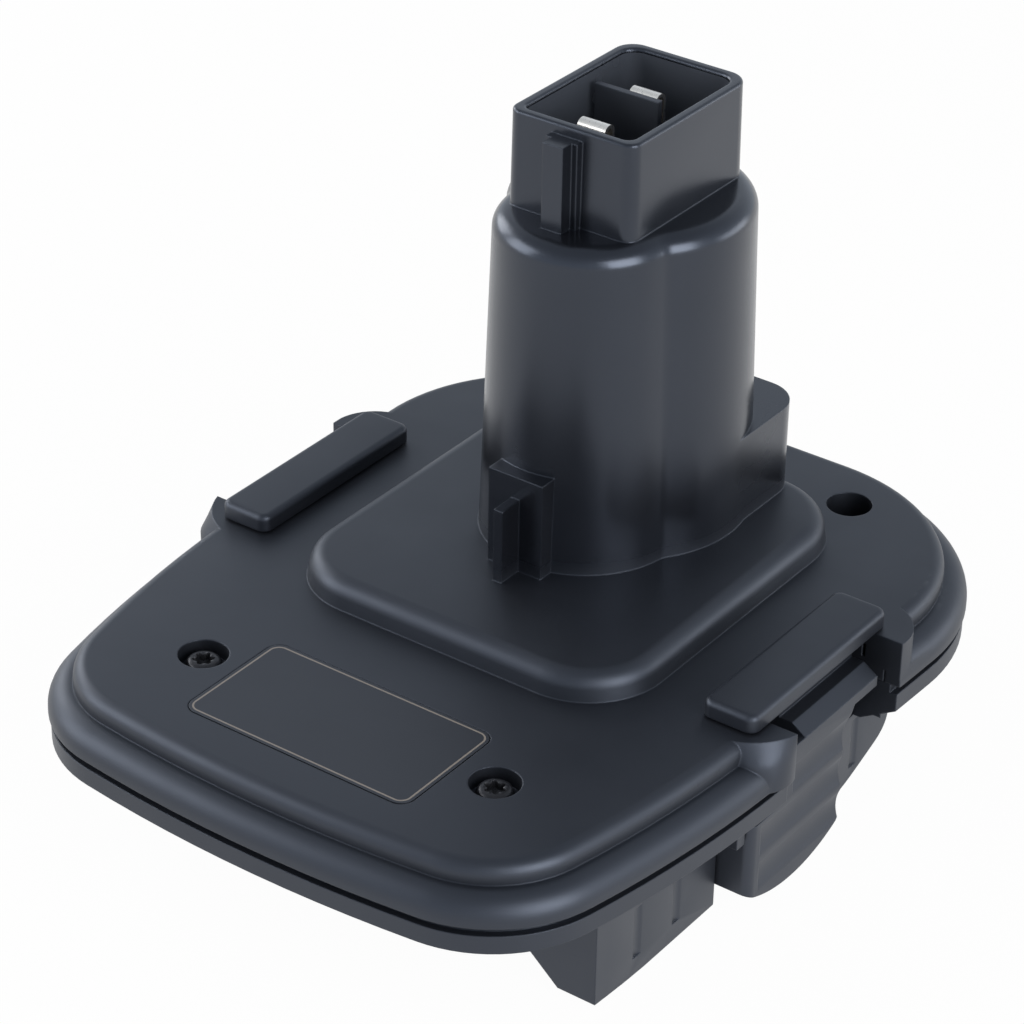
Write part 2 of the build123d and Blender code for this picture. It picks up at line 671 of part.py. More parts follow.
# Right latch
bar_z = deck_z + touch_gap
bar_center_y = (bar_front_y + bar_rear_y) / 2
with BuildPart() as right_latch:
    box_between((bar_in_x, bar_front_y, bar_z), (bar_out_x, bar_rear_y, bar_z + bar_h))
    fillet(edges().filter_by(Axis.Z), bar_corner_r)
    fillet(faces().sort_by(Axis.Z)[-1].edges(), bar_edge_r)

    # Core and web under the bar, with the ramp that slopes out to the lip
    with BuildSketch(Plane.XZ.offset(-ramp_rear_y)):
        with BuildLine():
            Polyline((latch_out_x, ramp_lip_z), (latch_out_x, ramp_lip_z - arm_t / 2), (core_in_x, arm_z),
                     (core_in_x, bar_z), (web_out_x, bar_z), (web_out_x, ramp_top_z),
                     (ramp_top_x, ramp_top_z), close=True)
        make_face()
    extrude(amount=ramp_rear_y - ramp_front_y)

    # Neck, wider at the lip than at the paddle
    neck_foot_z = paddle_top_z - paddle_edge_r
    with BuildSketch(Plane.YZ.offset(neck_in_x)):
        with BuildLine():
            Polyline((neck_rear_y, neck_foot_z), (neck_front_y, neck_foot_z), (neck_front_y, ramp_lip_z),
                     (neck_rear_y + neck_flare, ramp_lip_z))
            TangentArc((neck_rear_y, neck_foot_z), (neck_rear_y + neck_flare, ramp_lip_z), tangent=(0, 1))
        make_face()
    extrude(amount=latch_out_x - neck_in_x)

    # Paddle with a round front edge, and a wall behind each end of it
    paddle_front_z = paddle_foot_z + paddle_front_rise
    paddle_rear_z = paddle_foot_z + paddle_rear_rise
    with BuildSketch(Plane.YZ.offset(neck_in_x - paddle_return)):
        with BuildLine():
            Polyline((paddle_front_y, paddle_front_z), (paddle_front_y, paddle_top_z),
                     (paddle_rear_y, paddle_top_z), (paddle_rear_y, paddle_rear_z))
            ThreePointArc((paddle_rear_y, paddle_rear_z),
                          ((paddle_front_y + paddle_rear_y) / 2, paddle_foot_z),
                          (paddle_front_y, paddle_front_z))
        make_face()
    extrude(amount=latch_out_x - neck_in_x + paddle_return)
    fillet(edges().filter_by(Axis.Z).group_by(Axis.Y)[0].sort_by(Axis.X)[-1], paddle_edge_r)
    paddle_in_x = neck_in_x - paddle_return
    box_between((paddle_in_x - overrun, paddle_front_y + paddle_wall_t, -overrun),
                (neck_in_x, paddle_rear_y - paddle_wall_t, paddle_top_z + overrun), Mode.SUBTRACT)
    box_between((paddle_in_x - overrun, paddle_front_y - overrun, belly_z - touch_gap),
                (neck_in_x, paddle_rear_y + overrun, paddle_top_z + overrun), Mode.SUBTRACT)

    # Finger scoops across the paddle and the neck
    for number in range(grip_scoops):
        scoop_z = grip_first_z + number * grip_pitch
        scoop_front_y = paddle_front_y if scoop_z < paddle_top_z else neck_front_y
        with BuildSketch(Plane.XZ.offset(-scoop_front_y - grip_border)):
            with Locations((latch_out_x + grip_r - grip_depth, scoop_z)):
                Circle(grip_r)
        extrude(amount=-(paddle_rear_y - paddle_front_y + neck_flare), mode=Mode.SUBTRACT)

    # Arm through the frame, with the head that stops it
    box_between((head_in_x, arm_front_y, arm_z), (core_in_x + overrun, arm_rear_y, arm_z + arm_t))
    box_between((head_in_x, head_front_y, arm_z), (head_out_x, head_rear_y, arm_z + arm_t))
    with BuildSketch(Plane.YZ.offset(head_in_x)):
        with Locations((spring_y, spring_z)):
            Circle(spring_pin_r)
    extrude(amount=-spring_pin_l)
right_latch.part.label = "right_latch"

with BuildPart() as left_latch:
    mirror(right_latch.part, about=Plane.YZ)
left_latch.part.label = "left_latch"

# Coil springs that push the latches out
coil_l = spring_l - 2 * spring_wire_r
coil_start = (spring_post_x + spring_wire_r, spring_y, spring_z)
with BuildPart() as right_latch_spring:
    with BuildLine() as coil:
        Helix(pitch=coil_l / spring_turns, height=coil_l, radius=spring_r - spring_wire_r,
              center=coil_start, direction=(1, 0, 0))
    with BuildSketch(Plane(origin=coil.line @ 0, z_dir=coil.line % 0)):
        Circle(spring_wire_r)
    sweep(is_frenet=True)
right_latch_spring.part.label = "right_latch_spring"

with BuildPart() as left_latch_spring:
    mirror(right_latch_spring.part, about=Plane.YZ)
left_latch_spring.part.label = "left_latch_spring"

# Circuit board
with BuildPart() as circuit_board:
    box_between((-board_half, board_front_y, board_z), (board_half, board_rear_y, board_z + board_t))
    for hole_y in (board_screw_front_y, board_screw_rear_y):
        post(board_screw_x, hole_y, board_screw_r + slot_gap, board_z - overrun, board_top_z + overrun,
             Mode.SUBTRACT)
    blade_slots(blade_places, slot_gap, tail_front_y - slot_gap, board_z - overrun, board_top_z + overrun)
circuit_board.part.label = "circuit_board"

with BuildPart() as board_screws:
    for place_y in (board_screw_front_y, board_screw_rear_y):
        post(board_screw_x, place_y, board_screw_head_r, board_top_z, board_top_z + board_screw_head_h)
        post(board_screw_x, place_y, board_screw_r, board_top_z - board_screw_l, board_top_z)
board_screws.part.label = "board_screws"

with BuildPart() as power_transistors:
    mirrored_box((transistor_x - transistor_w / 2, transistor_y - transistor_l / 2, board_top_z),
                 (transistor_x + transistor_w / 2, transistor_y + transistor_l / 2,
                  board_top_z + transistor_h))
power_transistors.part.label = "power_transistors"

with BuildPart() as control_chip:
    box_between((-chip_w / 2, chip_y - chip_l / 2, board_top_z),
                (chip_w / 2, chip_y + chip_l / 2, board_top_z + chip_h))
control_chip.part.label = "control_chip"

with BuildPart() as current_shunt:
    box_between((-shunt_w / 2, shunt_y - shunt_l / 2, board_top_z),
                (shunt_w / 2, shunt_y + shunt_l / 2, board_top_z + shunt_h))
current_shunt.part.label = "current_shunt"

with BuildPart() as filter_capacitor:
    with BuildSketch(Plane.XY.offset(board_top_z)):
        with Locations((0, capacitor_y)):
            Circle(capacitor_r)
    extrude(amount=capacitor_h)
    fillet(edges().group_by(Axis.Z)[-1], capacitor_edge_r)
filter_capacitor.part.label = "filter_capacitor"

# Terminal block under the belly
with BuildPart() as terminal_block:
    box_between((-block_half, block_front_y, block_z), (block_half, block_rear_y, belly_z))
    fillet(edges().filter_by(Axis.Z), block_edge_r)
    blade_slots(blade_places, slot_gap, block_front_y - overrun, blade_low_z - slot_gap,
                blade_high_z + slot_gap)
    blade_slots(blade_places, slot_gap, tail_front_y - slot_gap, blade_low_z, belly_z + overrun)
    post(block_screw_x, block_screw_y, board_screw_r + shank_gap, block_z + wall, belly_z + overrun,
         Mode.SUBTRACT)
terminal_block.part.label = "terminal_block"

with BuildPart() as terminal_block_screws:
    post(block_screw_x, block_screw_y, board_screw_head_r, floor_z, floor_z + board_screw_head_h)
    post(block_screw_x, block_screw_y, board_screw_r, floor_z - floor_t - board_screw_l, floor_z)
terminal_block_screws.part.label = "terminal_block_screws"


def blade(place_x, front_y):
    """A flat blade along Y with a tail up through the floor and the board."""
    with BuildSketch(Plane.YZ.offset(place_x - blade_t / 2)) as flat:
        with BuildLine():
            Polyline((front_y, blade_low_z), (tail_rear_y, blade_low_z),
                     (tail_rear_y, board_top_z + tail_over), (tail_front_y, board_top_z + tail_over),
                     (tail_front_y, blade_high_z), (front_y, blade_high_z), close=True)
        make_face()
    extrude(flat.sketch, amount=blade_t)
    chamfer(edges().filter_by(Axis.X).group_by(Axis.Y)[0], blade_t)


with BuildPart() as positive_blade:
    blade(power_blade_x, blade_front_y)
positive_blade.part.label = "positive_blade"

with BuildPart() as negative_blade:
    blade(-power_blade_x, blade_front_y)
negative_blade.part.label = "negative_blade"

with BuildPart() as right_signal_blade:
    blade(signal_blade_x, signal_blade_front_y)

with BuildPart() as signal_blades:
    add(right_signal_blade.part)
    mirror(right_signal_blade.part, about=Plane.YZ)
signal_blades.part.label = "signal_blades"


def contact_slot(place, width, thick, low_z, high_z):
    """A slot in the terminal holder, a gap wider than the strip that stands in it."""
    half_w = width / 2 + slot_gap
    half_t = thick / 2 + slot_gap
    box_between((place[0] - half_w, place[1] - half_t, low_z), (place[0] + half_w, place[1] + half_t, high_z),
                Mode.SUBTRACT)


# Terminal holder that closes the cup from below
holder_top_z = stem_z + holder_rise
contact_top_z = cup_z - contact_top_drop
with BuildPart() as terminal_holder:
    box_between((-holder_half, holder_front_y, cup_floor_z - holder_t),
                (holder_half, holder_rear_y, cup_floor_z))
    cup_slab(cup_wall + holder_gap, cup_floor_z - overrun, holder_top_z)
    box_between((divider_left_x + slot_gap, divider_y, holder_top_z - overrun),
                (divider_right_x, divider_y + divider_t, cup_z - divider_drop))
    for place in ((near_contact_x, near_contact_y), (far_contact_x, far_contact_y)):
        contact_slot(place, contact_w, contact_t, cup_floor_z - holder_t / 2, holder_top_z + overrun)
        contact_slot(place, contact_tail_w, contact_strip_t, cup_floor_z - holder_t - overrun, cup_floor_z)
terminal_holder.part.label = "terminal_holder"


def contact(place_x, place_y):
    """A folded spring strip with a round top, standing in the holder, and its solder tail."""
    foot_z = cup_floor_z - holder_t / 2
    outer_r = contact_t / 2
    inner_r = outer_r - contact_strip_t
    bend_z = contact_top_z - outer_r
    with BuildSketch(Plane.YZ.offset(place_x - contact_w / 2)) as strip:
        with Locations((place_y, (foot_z + bend_z) / 2)):
            Rectangle(contact_t, bend_z - foot_z)
        with Locations((place_y, bend_z)):
            Circle(outer_r)
        with Locations((place_y, (foot_z + contact_strip_t + bend_z) / 2)):
            Rectangle(2 * inner_r, bend_z - foot_z - contact_strip_t, mode=Mode.SUBTRACT)
        with Locations((place_y, bend_z)):
            Circle(inner_r, mode=Mode.SUBTRACT)
    extrude(strip.sketch, amount=contact_w)
    tail_z = foot_z - holder_t / 2 - contact_tail_l
    box_between((place_x - contact_tail_w / 2, place_y - contact_strip_t / 2, tail_z),
                (place_x + contact_tail_w / 2, place_y + contact_strip_t / 2, foot_z + contact_strip_t / 2))


with BuildPart() as positive_contact:
    contact(near_contact_x, near_contact_y)
positive_contact.part.label = "positive_contact"

with BuildPart() as negative_contact:
    contact(far_contact_x, far_contact_y)
negative_contact.part.label = "negative_contact"


def lead(place_x, place_y, pad):
    """An insulated wire from a contact tail down the stem to its pad on the board."""
    tail_z = cup_floor_z - holder_t - contact_tail_l
    top = Vector(place_x, place_y + contact_strip_t / 2 + lead_r, tail_z + lead_r)
    low = Vector(pad[0], pad[1], board_top_z)
    upper_z, lower_z = [top.Z - share * (top.Z - low.Z) for share in lead_bend_shares]
    with BuildLine():
        route = FilletPolyline(top, (top.X, top.Y, upper_z), (low.X, low.Y, lower_z), low, radius=lead_bend_r)
    with BuildSketch(Plane(origin=route @ 0, z_dir=route % 0)) as section:
        Circle(lead_r)
    sweep(section.sketch, path=route)


with BuildPart() as positive_lead:
    lead(near_contact_x, near_contact_y, positive_pad)
positive_lead.part.label = "positive_lead"

with BuildPart() as negative_lead:
    lead(far_contact_x, far_contact_y, negative_pad)
negative_lead.part.label = "negative_lead"

pieces = [
    upper_housing, lower_housing, label_plate, front_housing_screws, rear_housing_screws,
    right_latch, left_latch, right_latch_spring, left_latch_spring,
    circuit_board, board_screws, power_transistors, control_chip, current_shunt, filter_capacitor,
    terminal_block, terminal_block_screws, positive_blade, negative_blade, signal_blades,
    terminal_holder, positive_contact, negative_contact, positive_lead, negative_lead,
]
os.makedirs("parts", exist_ok=True)
for piece in pieces:
    name = piece.part.label
    solids = piece.part.solids()
    print(name, len(solids), "solids", round(sum(s.volume for s in solids)), "mm3", piece.part.is_valid)
    export_step(piece.part, f"parts/{name}.step")
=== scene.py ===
# %% [markdown]
# A tool battery adapter: a black moulded base in two shells, a two-lobed stem with a terminal cup, two side
# latches, and slide rails below for a battery pack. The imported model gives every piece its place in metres,
# so this script dresses it: finishes, smooth skins, real screws and springs, a studio and a camera.

# %% Load the frame
import bpy
import bmesh
import math
from mathutils import Matrix, Vector


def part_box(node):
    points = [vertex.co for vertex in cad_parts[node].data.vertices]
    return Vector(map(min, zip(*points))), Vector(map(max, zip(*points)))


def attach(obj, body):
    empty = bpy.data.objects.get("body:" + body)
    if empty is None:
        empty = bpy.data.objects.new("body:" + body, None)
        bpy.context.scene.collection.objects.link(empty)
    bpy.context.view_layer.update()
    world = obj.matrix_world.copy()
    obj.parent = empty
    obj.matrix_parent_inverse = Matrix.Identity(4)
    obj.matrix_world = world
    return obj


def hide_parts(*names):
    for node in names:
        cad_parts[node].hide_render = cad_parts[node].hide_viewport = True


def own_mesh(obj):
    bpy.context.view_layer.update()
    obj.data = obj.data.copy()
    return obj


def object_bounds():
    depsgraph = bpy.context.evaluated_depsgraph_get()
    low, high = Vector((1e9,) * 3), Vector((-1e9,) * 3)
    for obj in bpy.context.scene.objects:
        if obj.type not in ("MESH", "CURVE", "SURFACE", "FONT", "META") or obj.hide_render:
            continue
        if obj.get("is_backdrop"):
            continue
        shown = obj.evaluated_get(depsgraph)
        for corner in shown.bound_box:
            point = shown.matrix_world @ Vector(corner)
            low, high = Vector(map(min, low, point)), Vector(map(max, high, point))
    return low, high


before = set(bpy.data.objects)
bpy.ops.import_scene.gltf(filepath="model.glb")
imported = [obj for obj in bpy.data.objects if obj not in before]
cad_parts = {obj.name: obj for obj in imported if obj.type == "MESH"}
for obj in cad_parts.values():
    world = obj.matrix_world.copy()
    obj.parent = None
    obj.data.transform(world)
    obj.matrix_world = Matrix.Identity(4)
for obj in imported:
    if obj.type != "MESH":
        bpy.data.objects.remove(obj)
cad_low, cad_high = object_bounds()
mm = 0.001
print("CAD box, mm:", [round(v / mm, 1) for v in (*cad_low, *cad_high)])

# %% [markdown]
# The photograph was taken with a long lens, from the right and from above, with a slight roll. A camera is
# placed most simply by its own three axes, which come from two angles and the roll.

# %% Camera
view_turn = math.radians(35.577)
view_height = math.radians(31.319)
view_roll = math.radians(1.026)
camera_place = Vector((0.2343, -0.3297, 0.2849))
focal_px = 3510.9
photo_px = 1024


def camera_axes(turn, height, roll):
    """Right, up and back directions of a camera that looks down at an object."""
    back = Vector((math.sin(turn) * math.cos(height), -math.cos(turn) * math.cos(height), math.sin(height)))
    flat_right = Vector((math.cos(turn), math.sin(turn), 0))
    flat_up = back.cross(flat_right)
    right = flat_right * math.cos(roll) + flat_up * math.sin(roll)
    return right, back.cross(right), back


camera = bpy.data.objects.new("camera", bpy.data.cameras.new("camera"))
bpy.context.scene.collection.objects.link(camera)
bpy.context.scene.camera = camera
axes = Matrix(camera_axes(view_turn, view_height, view_roll)).transposed()
camera.matrix_world = Matrix.Translation(camera_place) @ axes.to_4x4()
camera.data.lens = camera.data.sensor_width * focal_px / photo_px
print("lens, mm:", round(camera.data.lens, 1))

# %% [markdown]
# The studio is white where the camera looks, as in a catalogue photograph. Glossy and transmission rays see
# that white low down and a grey overhead, as under a studio ceiling, and never more than white. Black plastic
# shows little but what it mirrors, so this draws its form: pale sides, calmer tops, and dark where the stem
# mirrors the base. The light that falls on the object stays plain.

# %% World and lamps
world_light = 0.5
sweep_light = 1.0
overhead_light = 0.5
sky_tint = (0.84, 0.91, 1.0, 1)
sweep_top, overhead_full = 0.05, 1.0
white = (1, 1, 1, 1)
white_strength = 1
world = bpy.data.worlds.new("studio")
bpy.context.scene.world = world
world.use_nodes = True
wn, wl = world.node_tree.nodes, world.node_tree.links
wn.clear()
world_out = wn.new("ShaderNodeOutputWorld")
seen = wn.new("ShaderNodeBackground")
light = wn.new("ShaderNodeBackground")
mirrored = wn.new("ShaderNodeBackground")
mirrored.inputs["Color"].default_value = sky_tint
seen.inputs["Color"].default_value = white
seen.inputs["Strength"].default_value = white_strength
light.inputs["Strength"].default_value = world_light
direction = wn.new("ShaderNodeTexCoord")
upward = wn.new("ShaderNodeSeparateXYZ")
fade = wn.new("ShaderNodeMapRange")
fade.interpolation_type = "SMOOTHSTEP"
fade.inputs["From Min"].default_value = sweep_top
fade.inputs["From Max"].default_value = overhead_full
fade.inputs["To Min"].default_value = sweep_light
fade.inputs["To Max"].default_value = overhead_light
wl.new(direction.outputs["Generated"], upward.inputs[0])
wl.new(upward.outputs["Z"], fade.inputs["Value"])
wl.new(fade.outputs["Result"], mirrored.inputs["Strength"])
rays = wn.new("ShaderNodeLightPath")
bounced = wn.new("ShaderNodeMath")
bounced.operation = "MAXIMUM"
pick_mirrored = wn.new("ShaderNodeMixShader")
pick_seen = wn.new("ShaderNodeMixShader")
wl.new(rays.outputs["Is Glossy Ray"], bounced.inputs[0])
wl.new(rays.outputs["Is Transmission Ray"], bounced.inputs[1])
wl.new(bounced.outputs[0], pick_mirrored.inputs[0])
wl.new(light.outputs[0], pick_mirrored.inputs[1])
wl.new(mirrored.outputs[0], pick_mirrored.inputs[2])
wl.new(rays.outputs["Is Camera Ray"], pick_seen.inputs[0])
wl.new(pick_mirrored.outputs[0], pick_seen.inputs[1])
wl.new(seen.outputs[0], pick_seen.inputs[2])
wl.new(pick_seen.outputs[0], world_out.inputs[0])
bpy.context.scene.view_settings.view_transform = "Standard"


def softbox(name, place, target, width, height, watts):
    """A rectangular lamp that faces a target."""
    data = bpy.data.lights.new(name, "AREA")
    data.shape = "RECTANGLE"
    data.size = width
    data.size_y = height
    data.energy = watts
    lamp = bpy.data.objects.new(name, data)
    bpy.context.scene.collection.objects.link(lamp)
    lamp.location = place
    lamp.rotation_euler = (Vector(target) - Vector(place)).to_track_quat("-Z", "Y").to_euler()
    return lamp


lamp_target = (0, 0, 0.03)
softbox("right_softbox", (0.56, -0.16, 0.24), lamp_target, 0.4, 0.4, 2.8)
softbox("right_rear_softbox", (0.42, 0.46, 0.1), lamp_target, 0.4, 0.2, 0.6)
softbox("left_softbox", (-0.5, -0.34, 0.28), lamp_target, 0.4, 0.4, 1.9)
softbox("left_rear_softbox", (-0.6, 0.1, 0.26), lamp_target, 0.3, 0.3, 1.0)

# %% [markdown]
# The floor is a plain pale sheet. The camera sees it nearly white, and it keeps a faint shadow under the
# part, which ties the part to the ground. Mirrors show it as the camera does.

# %% Floor
floor_size = 3.0
floor_glow_share = 0.97
floor_colour = (0.8, 0.8, 0.8, 1)


def node_material(name):
    """A new material with its node tree emptied, and its output node."""
    material = bpy.data.materials.new(name)
    material.use_nodes = True
    material.node_tree.nodes.clear()
    return material, material.node_tree.nodes.new("ShaderNodeOutputMaterial")


floor_paint, floor_out = node_material("pale_floor")
fn, fl = floor_paint.node_tree.nodes, floor_paint.node_tree.links
matt = fn.new("ShaderNodeBsdfDiffuse")
matt.inputs["Color"].default_value = floor_colour
glow = fn.new("ShaderNodeEmission")
glow.inputs["Strength"].default_value = white_strength
floor_rays = fn.new("ShaderNodeLightPath")
seen_floor = fn.new("ShaderNodeMath")
seen_floor.operation = "MAXIMUM"
share = fn.new("ShaderNodeMath")
share.operation = "MULTIPLY"
share.inputs[1].default_value = floor_glow_share
blend = fn.new("ShaderNodeMixShader")
fl.new(floor_rays.outputs["Is Camera Ray"], seen_floor.inputs[0])
fl.new(floor_rays.outputs["Is Glossy Ray"], seen_floor.inputs[1])
fl.new(seen_floor.outputs[0], share.inputs[0])
fl.new(share.outputs[0], blend.inputs[0])
fl.new(matt.outputs[0], blend.inputs[1])
fl.new(glow.outputs[0], blend.inputs[2])
fl.new(blend.outputs[0], floor_out.inputs[0])
floor_mesh = bpy.data.meshes.new("floor")
half = floor_size / 2
corners = [(-half, -half, 0), (half, -half, 0), (half, half, 0), (-half, half, 0)]
floor_mesh.from_pydata(corners, [], [(0, 1, 2, 3)])
floor = bpy.data.objects.new("floor", floor_mesh)
bpy.context.scene.collection.objects.link(floor)
floor_mesh.materials.append(floor_paint)
floor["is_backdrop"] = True
print("floor, m:", floor_size)

# %% [markdown]
# Nearly everything that shows is moulded plastic. Its colour is an almost black blue grey, its skin has the
# fine grain of a spark-eroded mould, and its gloss drifts a little over a face. One function makes all the
# plastics, because they differ only in colour, gloss and grain. A Bevel node rounds the normals at edges, so
# that even small edges catch a thin light, as moulded ones do. Above the pedestal the skin is glossier, and
# inside the cup its colour is painted paler, as painted light where the lamps barely reach. A Mix node's
# sockets for numbers and for colours are named by their places.


# %% Plastic
cool_tint = (0.72, 0.81, 1.0, 1)
plastic_ior, plastic_specular = 1.6, 0.6
tone_scale, tone_detail = 28, 4.0
gloss_scale = 75
gloss_drift, polish_drift = 0.035, 0.03
grain_strength = 0.6
bevel_samples = 4
base_gloss = 0.46
number_a, number_b = 2, 3
colour_a, colour_b, colour_out = 6, 7, 2


def noise(nodes, links, coords, scale, detail=3.0):
    """A noise texture on object coordinates, and its value."""
    texture = nodes.new("ShaderNodeTexNoise")
    texture.inputs["Scale"].default_value = scale
    texture.inputs["Detail"].default_value = detail
    links.new(coords.outputs["Object"], texture.inputs["Vector"])
    return texture.outputs["Fac"]


def spread(nodes, links, value, low, high, start=0.3, end=0.7):
    """A value's middle range, spread between two new ends."""
    remap = nodes.new("ShaderNodeMapRange")
    remap.inputs["From Min"].default_value = start
    remap.inputs["From Max"].default_value = end
    remap.inputs["To Min"].default_value = low
    remap.inputs["To Max"].default_value = high
    links.new(value, remap.inputs["Value"])
    return remap.outputs["Result"]


def colour_mix(nodes, links, share, first, second):
    """A mix of two colours, each given as numbers or as a socket, and its result."""
    mix = nodes.new("ShaderNodeMix")
    mix.data_type = "RGBA"
    links.new(share, mix.inputs[0])
    for socket, colour in ((mix.inputs[colour_a], first), (mix.inputs[colour_b], second)):
        if isinstance(colour, tuple):
            socket.default_value = (*colour, 1)
        else:
            links.new(colour, socket)
    return mix.outputs[colour_out]


def height_mix(nodes, links, coords, low_z, high_z):
    """0 below one height and 1 above another, on object coordinates."""
    apart = nodes.new("ShaderNodeSeparateXYZ")
    links.new(coords.outputs["Object"], apart.inputs[0])
    return spread(nodes, links, apart.outputs["Z"], 0, 1, low_z, high_z)


def chain(nodes, links, operation, first, second=None):
    """A math node on two values or sockets, and its result."""
    node = nodes.new("ShaderNodeMath")
    node.operation = operation
    for socket, value in zip(node.inputs, (first, second)):
        if value is None:
            continue
        if isinstance(value, (int, float)):
            socket.default_value = value
        else:
            links.new(value, socket)
    return node.outputs[0]


def inside_box(nodes, links, coords, low, high):
    """1 inside a box, 0 outside it, on object coordinates."""
    apart = nodes.new("ShaderNodeSeparateXYZ")
    links.new(coords.outputs["Object"], apart.inputs[0])
    inside = 1.0
    for axis in range(3):
        above = chain(nodes, links, "GREATER_THAN", apart.outputs[axis], low[axis])
        below = chain(nodes, links, "LESS_THAN", apart.outputs[axis], high[axis])
        inside = chain(nodes, links, "MULTIPLY", inside, chain(nodes, links, "MULTIPLY", above, below))
    return inside


def plastic(name, dark, pale, gloss, grain=0.00022, grain_depth=0.000012, edge=0.0003, polish=None,
            painted_light=None):
    """Moulded plastic: drifting colour and gloss, a fine grain, softly lit edges, and, where asked for, a
    polished upper part and a paler colour painted inside a box as painted light."""
    material, out = node_material(name)
    nodes, links = material.node_tree.nodes, material.node_tree.links
    shader = nodes.new("ShaderNodeBsdfPrincipled")
    shader.inputs["IOR"].default_value = plastic_ior
    shader.inputs["Specular IOR Level"].default_value = plastic_specular
    shader.inputs["Specular Tint"].default_value = cool_tint
    coords = nodes.new("ShaderNodeTexCoord")
    drift = spread(nodes, links, noise(nodes, links, coords, tone_scale, tone_detail), 0, 1)
    colour = colour_mix(nodes, links, drift, dark, pale)
    # Painted light: inside the box the base colour turns paler. It stands in for light that barely reaches
    # the cup's deep walls.
    if painted_light:
        tone, low, high = painted_light
        colour = colour_mix(nodes, links, inside_box(nodes, links, coords, low, high), colour, tone)
    links.new(colour, shader.inputs["Base Color"])
    cloud = noise(nodes, links, coords, gloss_scale)
    roughness = spread(nodes, links, cloud, gloss - gloss_drift, gloss + gloss_drift)
    if polish:
        smooth, low_z, high_z = polish
        upper = height_mix(nodes, links, coords, low_z, high_z)
        polished = nodes.new("ShaderNodeMix")
        links.new(upper, polished.inputs[0])
        links.new(roughness, polished.inputs[number_a])
        finer = spread(nodes, links, cloud, smooth - polish_drift, smooth + polish_drift)
        links.new(finer, polished.inputs[number_b])
        roughness = polished.outputs[0]
    links.new(roughness, shader.inputs["Roughness"])
    rounded = nodes.new("ShaderNodeBevel")
    rounded.samples = bevel_samples
    rounded.inputs["Radius"].default_value = edge
    bump = nodes.new("ShaderNodeBump")
    bump.inputs["Strength"].default_value = grain_strength
    bump.inputs["Distance"].default_value = grain_depth
    links.new(noise(nodes, links, coords, 1 / grain), bump.inputs["Height"])
    links.new(rounded.outputs["Normal"], bump.inputs["Normal"])
    links.new(bump.outputs["Normal"], shader.inputs["Normal"])
    links.new(shader.outputs[0], out.inputs[0])
    return material


pedestal_rise = 4 * mm
polish_fade = 2 * mm
wall_reach = 0.8 * mm
rim_margin = 0.6 * mm
pedestal_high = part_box("label_plate")[1].z + pedestal_rise
holder_low, holder_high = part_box("terminal_holder")
# Painted light: the housing's colour is painted paler inside this box round the cup, where the lamps barely
# reach.
cup_low = (holder_low.x, holder_low.y, holder_low.z)
cup_high = (holder_high.x, holder_high.y + wall_reach, cad_high[2] - rim_margin)
housing_plastic = plastic("housing_plastic", (0.0050, 0.0056, 0.0074), (0.0078, 0.0087, 0.0114), base_gloss,
                          polish=(0.25, pedestal_high, pedestal_high + polish_fade),
                          painted_light=((0.06, 0.068, 0.084), cup_low, cup_high))
latch_plastic = plastic("latch_plastic", (0.0054, 0.0060, 0.0080), (0.0086, 0.0094, 0.0122), base_gloss)
holder_plastic = plastic("holder_plastic", (0.028, 0.031, 0.038), (0.036, 0.040, 0.048), 0.5)
block_plastic = plastic("block_plastic", (0.012, 0.012, 0.013), (0.017, 0.017, 0.019), 0.45)
chip_resin = plastic("chip_resin", (0.012, 0.012, 0.013), (0.018, 0.018, 0.019), 0.5, grain=0.0001)
red_insulation = plastic("red_insulation", (0.42, 0.016, 0.014), (0.5, 0.022, 0.018), 0.38)
black_insulation = plastic("black_insulation", (0.012, 0.012, 0.012), (0.018, 0.018, 0.018), 0.38)
board_laminate = plastic("board_laminate", (0.008, 0.07, 0.03), (0.012, 0.10, 0.045), 0.3, grain=0.0006)
plastics = (housing_plastic, latch_plastic, holder_plastic, block_plastic, chip_resin, red_insulation,
            black_insulation, board_laminate)
print("plastics:", [paint.name for paint in plastics])

# %% [markdown]
# The metals are nickel on the contacts, zinc on the inner screws, black oxide on the outer ones and drawn
# wire in the springs. They share a function too: a metal shader whose grain is stretched along one axis, as
# drawing and stamping leave it.


# %% Metal
tarnish_scale = 220
shade_share = 0.84
scratch_scale, scratch_detail = 2500, 4
scratch_depth, scratch_strength = 0.000004, 0.5
smoother, rougher = 0.05, 0.07


def metal(name, colour, gloss, stretch=(1, 1, 1), metallic=1.0):
    """Plated or oxidised metal with fine stretched scratches and drifting gloss."""
    material, out = node_material(name)
    nodes, links = material.node_tree.nodes, material.node_tree.links
    shader = nodes.new("ShaderNodeBsdfPrincipled")
    shader.inputs["Metallic"].default_value = metallic
    coords = nodes.new("ShaderNodeTexCoord")
    mapping = nodes.new("ShaderNodeMapping")
    mapping.inputs["Scale"].default_value = stretch
    links.new(coords.outputs["Object"], mapping.inputs["Vector"])
    drift = spread(nodes, links, noise(nodes, links, coords, tarnish_scale), 0, 1)
    shade = tuple(c * shade_share for c in colour)
    links.new(colour_mix(nodes, links, drift, shade, colour), shader.inputs["Base Color"])
    scratches = nodes.new("ShaderNodeTexNoise")
    scratches.inputs["Scale"].default_value = scratch_scale
    scratches.inputs["Detail"].default_value = scratch_detail
    links.new(mapping.outputs["Vector"], scratches.inputs["Vector"])
    roughness = spread(nodes, links, scratches.outputs["Fac"], gloss - smoother, gloss + rougher)
    links.new(roughness, shader.inputs["Roughness"])
    bump = nodes.new("ShaderNodeBump")
    bump.inputs["Strength"].default_value = scratch_strength
    bump.inputs["Distance"].default_value = scratch_depth
    links.new(scratches.outputs["Fac"], bump.inputs["Height"])
    links.new(bump.outputs["Normal"], shader.inputs["Normal"])
    links.new(shader.outputs[0], out.inputs[0])
    return material


